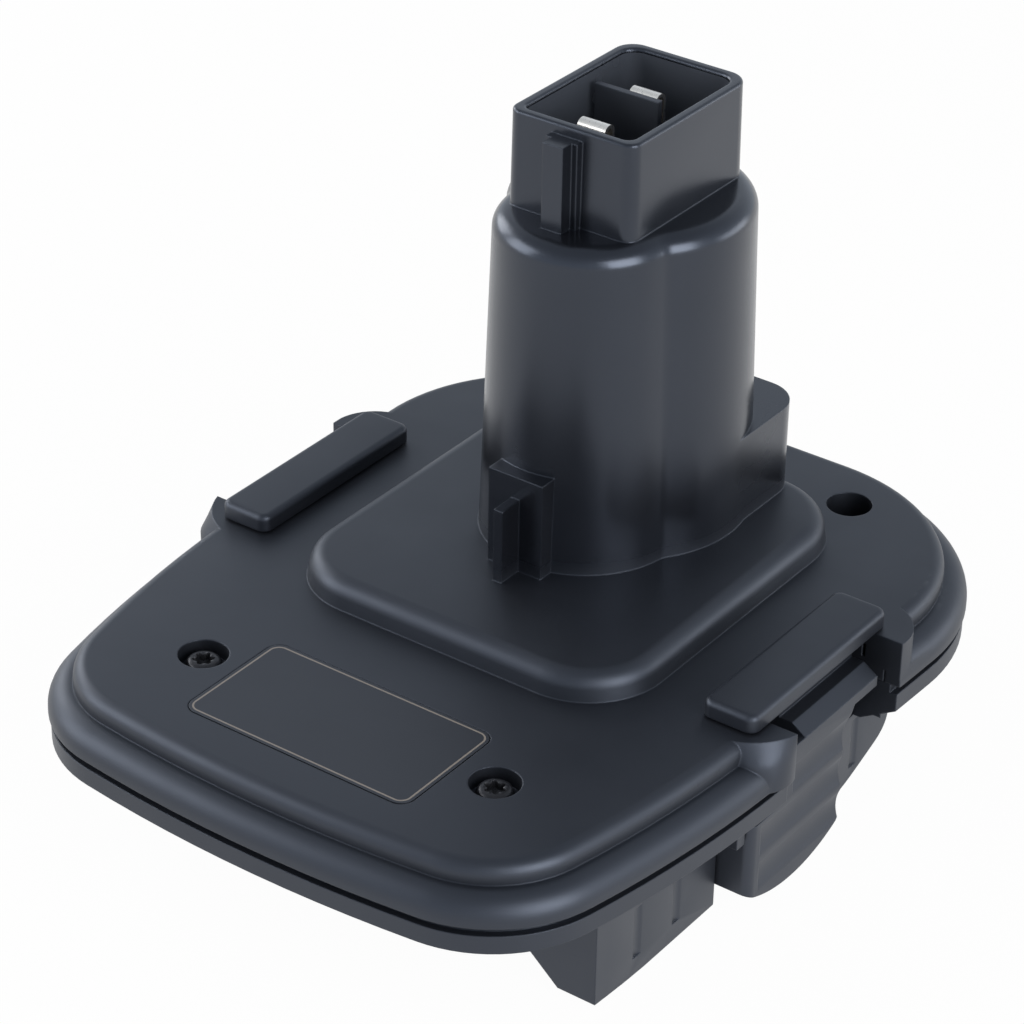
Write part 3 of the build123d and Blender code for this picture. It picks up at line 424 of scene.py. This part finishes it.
nickel_contact = metal("nickel_contact", (0.98, 0.94, 0.88), 0.3, (1, 1, 0.12))
zinc_steel = metal("zinc_steel", (0.6, 0.6, 0.63), 0.32)
black_oxide = metal("black_oxide", (0.035, 0.036, 0.042), 0.3, metallic=0.6)
spring_steel = metal("spring_steel", (0.46, 0.46, 0.47), 0.3, (0.2, 1, 1))
shunt_metal = metal("shunt_metal", (0.42, 0.38, 0.33), 0.38, (0.1, 1, 1))
can_aluminium = metal("can_aluminium", (0.6, 0.6, 0.62), 0.3, (1, 1, 0.1))
metals = (nickel_contact, zinc_steel, black_oxide, spring_steel, shunt_metal, can_aluminium)
print("metals:", [paint.name for paint in metals])

# %% [markdown]
# The label is a thin satin film, darker than the deck, with a fine pale line near its edge and nothing else
# on it. The line is drawn by distance: how far a point lies inside a rounded rectangle, worked out on the
# film's own coordinates, so that it stays even round the corners.

# %% Label film
label_low, label_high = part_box("label_plate")
label_centre = (label_low + label_high) / 2
label_half = (label_high - label_low) / 2
label_corner = 2.0 * mm
line_inset = 0.55 * mm
line_half = 0.13 * mm
line_colour = (0.22, 0.19, 0.16)


def border_mask(nodes, links, coords):
    """1 on a thin line that follows the label's edge, 0 elsewhere."""
    apart = nodes.new("ShaderNodeSeparateXYZ")
    links.new(coords.outputs["Object"], apart.inputs[0])
    reach = []
    for axis in (0, 1):
        from_middle = chain(nodes, links, "SUBTRACT", apart.outputs[axis], label_centre[axis])
        outward = chain(nodes, links, "ABSOLUTE", from_middle)
        reach.append(chain(nodes, links, "SUBTRACT", outward, label_half[axis] - label_corner))
    x_out, y_out = (chain(nodes, links, "MAXIMUM", r, 0.0) for r in reach)
    squares = chain(nodes, links, "ADD", chain(nodes, links, "MULTIPLY", x_out, x_out),
                    chain(nodes, links, "MULTIPLY", y_out, y_out))
    inner = chain(nodes, links, "MINIMUM", chain(nodes, links, "MAXIMUM", reach[0], reach[1]), 0.0)
    distance = chain(nodes, links, "ADD", chain(nodes, links, "SQRT", squares), inner)
    from_line = chain(nodes, links, "SUBTRACT", distance, label_corner - line_inset)
    off_line = chain(nodes, links, "ABSOLUTE", from_line)
    return chain(nodes, links, "LESS_THAN", off_line, line_half)


label_film = plastic("label_film", (0.006, 0.006, 0.007), (0.009, 0.009, 0.010), base_gloss, grain=0.0003,
                     grain_depth=0.000004, edge=0.0001)
ln, ll = label_film.node_tree.nodes, label_film.node_tree.links
label_shader = next(n for n in ln if n.type == "BSDF_PRINCIPLED")
label_coords = next(n for n in ln if n.type == "TEX_COORD")
field_colour = label_shader.inputs["Base Color"].links[0].from_socket
printed = colour_mix(ln, ll, border_mask(ln, ll, label_coords), field_colour, line_colour)
ll.new(printed, label_shader.inputs["Base Color"])
print("label, mm:", [round(2 * v / mm, 1) for v in label_half])

# %% [markdown]
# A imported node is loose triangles. For a moulded piece a merged copy shades better: its curved faces turn
# smooth, and its real edges stay sharp, so light runs along the stem in one band. The copy stands for the
# node.


# %% Smooth skins
merge_reach = 0.001 * mm
skin_sharp = math.radians(32)


def smooth_skin(node, body, finish, slot_name):
    """A merged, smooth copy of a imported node, with a finish, that rides with a body."""
    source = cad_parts[node]
    shell = bmesh.new()
    shell.from_mesh(source.data)
    bmesh.ops.remove_doubles(shell, verts=shell.verts, dist=merge_reach)
    for face in shell.faces:
        face.smooth = True
    for seam in shell.edges:
        seam.smooth = seam.is_manifold and seam.calc_face_angle(0) < skin_sharp
    mesh = bpy.data.meshes.new(node + "_skin")
    shell.to_mesh(mesh)
    shell.free()
    mesh.materials.append(finish)
    skin = bpy.data.objects.new(node + "_skin", mesh)
    bpy.context.scene.collection.objects.link(skin)
    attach(skin, body)
    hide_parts(node)
    return skin


moulded = [
    ("upper_housing", "adapter", housing_plastic, "housing_plastic"),
    ("lower_housing", "adapter", housing_plastic, "housing_plastic"),
    ("right_latch", "right_latch", latch_plastic, "latch_plastic"),
    ("left_latch", "left_latch", latch_plastic, "latch_plastic"),
    ("terminal_holder", "adapter", holder_plastic, "holder_plastic"),
    ("terminal_block", "adapter", block_plastic, "block_plastic"),
    ("positive_contact", "adapter", nickel_contact, "nickel_contact"),
    ("negative_contact", "adapter", nickel_contact, "nickel_contact"),
    ("filter_capacitor", "adapter", can_aluminium, "capacitor_can"),
    ("positive_lead", "adapter", red_insulation, "red_insulation"),
    ("negative_lead", "adapter", black_insulation, "black_insulation"),
]
skins = {row[0]: smooth_skin(*row) for row in moulded}
print("skins, triangles:", {n: len(s.data.polygons) for n, s in skins.items()})

# %% [markdown]
# Small pieces whose shape is right as it is keep their node and only get a finish. The inner screws, of the
# board and of the terminal block, are among them, because the closed part hides them.

# %% Finished nodes
for node, finish in (("label_plate", label_film), ("circuit_board", board_laminate),
                     ("control_chip", chip_resin), ("power_transistors", chip_resin),
                     ("current_shunt", shunt_metal), ("positive_blade", nickel_contact),
                     ("negative_blade", nickel_contact), ("signal_blades", nickel_contact),
                     ("board_screws", zinc_steel), ("terminal_block_screws", zinc_steel)):
    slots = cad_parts[node].data.materials
    slots.clear()
    slots.append(finish)
    print("finished:", node)

# %% [markdown]
# A screw is a stack of rings. Each ring has a radius, a height and, in the drive recess, six lobes; on the
# shank the radius winds up and down to make the thread. One function joins any such stack into a closed skin.
# The rows of the recess are its radius, depth and lobe in mm, from its mouth to its floor.

# %% Screw mesh
ring_points = 72
lobe_count = 6
screw_sharp = math.radians(40)


def ring(radius, z, lobe=0.0, thread=0.0, pitch=1.0):
    """The points of one ring round Z, with lobes or a slice of thread on its radius."""
    points = []
    for step in range(ring_points):
        turn = step / ring_points
        wave = abs(((z / pitch - turn) % 1) - 0.5) * 2
        reach = radius + lobe * math.cos(2 * math.pi * turn * lobe_count) - thread * wave
        points.append((reach * math.cos(2 * math.pi * turn), reach * math.sin(2 * math.pi * turn), z))
    return points


def stack(name, rings):
    """Rings joined in order into one closed mesh, with a fan at each end."""
    shape = bmesh.new()
    rows = [[shape.verts.new(p) for p in points] for points in rings]
    for low, high in zip(rows, rows[1:]):
        for step in range(ring_points):
            after = (step + 1) % ring_points
            shape.faces.new((low[step], low[after], high[after], high[step]))
    for row, z in ((rows[0], rings[0][0][2]), (rows[-1], rings[-1][0][2])):
        tip = shape.verts.new((0, 0, z))
        for step in range(ring_points):
            shape.faces.new((row[step], row[(step + 1) % ring_points], tip))
    bmesh.ops.recalc_face_normals(shape, faces=shape.faces)
    for face in shape.faces:
        face.smooth = True
    for seam in shape.edges:
        seam.smooth = seam.calc_face_angle(0) < screw_sharp
    mesh = bpy.data.meshes.new(name)
    shape.to_mesh(mesh)
    shape.free()
    return mesh


head_r = 2.5 * mm
head_h = 1.9 * mm
shank_r = 1.5 * mm
thread_pitch = 1.06 * mm
thread_depth = 0.32 * mm
thread_low, thread_margin = 0.6 * mm, 0.9 * mm
slices_per_turn = 6
point_r, taper_r, taper_h = 0.35 * shank_r, 0.75 * shank_r, 0.5 * mm
neck_r, neck_h = 0.8 * shank_r, 0.06 * mm
seat_r, seat_edge = 0.96 * head_r, 0.1 * mm
wall_share, dome_share = 0.45, 0.55
flat_share, crown_share = 0.66, 0.34
recess_rows = ((1.36, 0, 0.2), (1.27, 0.1, 0.24), (1.22, 1.05, 0.24), (0.5, 1.25, 0.05))


def screw_mesh(name, length):
    """A pan head screw with a six-lobe recess; its seat under the head is at Z = 0."""
    rings = [ring(point_r, -length), ring(taper_r, -length + taper_h)]
    turns_z = length - thread_margin
    slices = int(turns_z / thread_pitch * slices_per_turn)
    for step in range(slices + 1):
        z = -length + thread_low + turns_z * step / slices
        rings.append(ring(shank_r, z, 0, thread_depth, thread_pitch))
    rings += [ring(neck_r, -neck_h), ring(neck_r, 0), ring(seat_r, 0)]
    rings += [ring(head_r, seat_edge), ring(head_r, wall_share * head_h)]
    for share in (0.25, 0.5, 0.75, 1.0):
        angle = share * math.pi / 2
        crown_r = head_r * (flat_share + crown_share * math.cos(angle))
        rings.append(ring(crown_r, head_h * (wall_share + dome_share * math.sin(angle))))
    rings += [ring(radius * mm, head_h - depth * mm, lobe * mm) for radius, depth, lobe in recess_rows]
    return stack(name, rings)


# %% [markdown]
# The same screw stands in each place, so Geometry Nodes put it there: the places are the vertices of a small
# mesh, and the tree sets a screw on each, turned by a seeded angle, because no two screws stop at the same
# turn.


# %% Screw tree
def tree_with(name, floats=(), objects=(), materials=("Finish",)):
    """A geometry tree with a mesh input and named inputs, its group nodes and its links."""
    tree = bpy.data.node_groups.new(name, "GeometryNodeTree")
    tree.interface.new_socket("Geometry", in_out="INPUT", socket_type="NodeSocketGeometry")
    for label in floats:
        tree.interface.new_socket(label, in_out="INPUT", socket_type="NodeSocketFloat")
    for label in objects:
        tree.interface.new_socket(label, in_out="INPUT", socket_type="NodeSocketObject")
    for label in materials:
        tree.interface.new_socket(label, in_out="INPUT", socket_type="NodeSocketMaterial")
    tree.interface.new_socket("Geometry", in_out="OUTPUT", socket_type="NodeSocketGeometry")
    return tree, tree.nodes.new("NodeGroupInput"), tree.nodes.new("NodeGroupOutput")


def close_tree(tree, shape, tree_in, tree_out):
    """The end of a tree: its shape made real, with its finish, and sent out."""
    real = tree.nodes.new("GeometryNodeRealizeInstances")
    painted = tree.nodes.new("GeometryNodeSetMaterial")
    tree.links.new(shape, real.inputs[0])
    tree.links.new(real.outputs[0], painted.inputs["Geometry"])
    tree.links.new(tree_in.outputs["Finish"], painted.inputs["Material"])
    tree.links.new(painted.outputs[0], tree_out.inputs[0])


def run_tree(name, tree, start_mesh, **values):
    """The plain mesh object that a tree makes from a start mesh and named inputs."""
    piece = bpy.data.objects.new(name, start_mesh)
    bpy.context.scene.collection.objects.link(piece)
    modifier = piece.modifiers.new(name, "NODES")
    modifier.node_group = tree
    for item in tree.interface.items_tree:
        label = item.name.lower().replace(" ", "_")
        if item.in_out == "INPUT" and label in values:
            modifier[item.identifier] = values[label]
    bpy.context.view_layer.update()
    made = piece.evaluated_get(bpy.context.evaluated_depsgraph_get())
    mesh = bpy.data.meshes.new_from_object(made)
    piece.modifiers.clear()
    piece.data = mesh
    mesh.name = name
    return piece


def point_mesh(name, places):
    """A mesh of single vertices."""
    mesh = bpy.data.meshes.new(name)
    mesh.from_pydata(places, [], [])
    return mesh


turn_seed = 4
float_max, float_value = 3, 1
screw_tree, tree_in, tree_out = tree_with("screws_on_points", ("Turn spread",), ("Screw",))
nodes, links = screw_tree.nodes, screw_tree.links
info = nodes.new("GeometryNodeObjectInfo")
random_turn = nodes.new("FunctionNodeRandomValue")
random_turn.data_type = "FLOAT"
random_turn.inputs["Seed"].default_value = turn_seed
twist = nodes.new("ShaderNodeCombineXYZ")
setter = nodes.new("GeometryNodeInstanceOnPoints")
links.new(tree_in.outputs["Screw"], info.inputs["Object"])
links.new(tree_in.outputs["Turn spread"], random_turn.inputs[float_max])
links.new(random_turn.outputs[float_value], twist.inputs["Z"])
links.new(tree_in.outputs["Geometry"], setter.inputs["Points"])
links.new(info.outputs["Geometry"], setter.inputs["Instance"])
links.new(twist.outputs[0], setter.inputs["Rotation"])
close_tree(screw_tree, setter.outputs[0], tree_in, tree_out)


def set_screws(node, finish):
    """Screws that stand where a packed pair stands, and as long as they are."""
    low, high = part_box(node)
    seat_z = high.z - head_h
    model = bpy.data.objects.new(node + "_model", screw_mesh(node + "_model", seat_z - low.z))
    centre_y = (low.y + high.y) / 2
    places = [(side * (high.x - head_r), centre_y, seat_z) for side in (-1, 1)]
    screws = run_tree(node + "_threaded", screw_tree, point_mesh(node + "_places", places),
                      turn_spread=math.tau / lobe_count, screw=model, finish=finish)
    bpy.data.objects.remove(model)
    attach(screws, "adapter")
    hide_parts(node)
    return screws


for node in ("front_housing_screws", "rear_housing_screws"):
    made = set_screws(node, black_oxide)
    print(made.name, len(made.data.polygons), "faces")

# %% [markdown]
# A latch spring is a wire wound round an axis, with its end turns laid flat so that they seat squarely.
# Spiral gives the winding, and a formula on the height gathers the turns at both ends.

# %% Latch springs
spring_turns = 8
points_per_turn = 28
wire_sides = 10
wire_r = 0.4 * mm
end_gathering = 0.75
spring_inputs = ("Length", "Coil radius", "Wire radius", "Gathering")
spring_tree, tree_in, tree_out = tree_with("closed_coil", spring_inputs)
nodes, links = spring_tree.nodes, spring_tree.links
coil = nodes.new("GeometryNodeCurveSpiral")
coil.inputs["Resolution"].default_value = points_per_turn
coil.inputs["Rotations"].default_value = spring_turns
coil.inputs["Height"].default_value = 0
links.new(tree_in.outputs["Coil radius"], coil.inputs["Start Radius"])
links.new(tree_in.outputs["Coil radius"], coil.inputs["End Radius"])
along = nodes.new("GeometryNodeSplineParameter")


def calc(operation, first, second=None):
    """A math node in the spring's tree, and its result."""
    return chain(nodes, links, operation, first, second)


wave = calc("SINE", calc("MULTIPLY", along.outputs["Factor"], math.tau))
gathered = calc("MULTIPLY", wave, calc("DIVIDE", tree_in.outputs["Gathering"], math.tau))
height = calc("MULTIPLY", calc("SUBTRACT", along.outputs["Factor"], gathered), tree_in.outputs["Length"])
lift = nodes.new("ShaderNodeCombineXYZ")
links.new(height, lift.inputs["Z"])
raised = nodes.new("GeometryNodeSetPosition")
links.new(coil.outputs[0], raised.inputs["Geometry"])
links.new(lift.outputs[0], raised.inputs["Offset"])
wire = nodes.new("GeometryNodeCurvePrimitiveCircle")
wire.inputs["Resolution"].default_value = wire_sides
links.new(tree_in.outputs["Wire radius"], wire.inputs["Radius"])
drawn = nodes.new("GeometryNodeCurveToMesh")
drawn.inputs["Fill Caps"].default_value = True
links.new(raised.outputs[0], drawn.inputs["Curve"])
links.new(wire.outputs[0], drawn.inputs["Profile Curve"])
laid = nodes.new("GeometryNodeTransform")
laid.inputs["Rotation"].default_value = (0, math.pi / 2, 0)
links.new(drawn.outputs[0], laid.inputs["Geometry"])
close_tree(spring_tree, laid.outputs[0], tree_in, tree_out)

for side, sign in (("right", 1), ("left", -1)):
    node = side + "_latch_spring"
    low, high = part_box(node)
    spring = run_tree(node + "_coil", spring_tree, point_mesh(node + "_start", []),
                      length=high.x - low.x - 2 * wire_r, coil_radius=(high.y - low.y) / 2 - wire_r,
                      wire_radius=wire_r, gathering=end_gathering, finish=spring_steel)
    spring.data.transform(Matrix.Translation((low.x + wire_r, (low.y + high.y) / 2, (low.z + high.z) / 2)))
    spring.data.shade_smooth()
    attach(spring, "adapter")
    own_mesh(spring)
    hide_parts(node)
    print(spring.name, [round(v / mm, 1) for v in spring.dimensions], "mm")

# %% Size
low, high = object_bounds()
print("visual box, mm:", [round(v / mm, 1) for v in (*low, *high)])
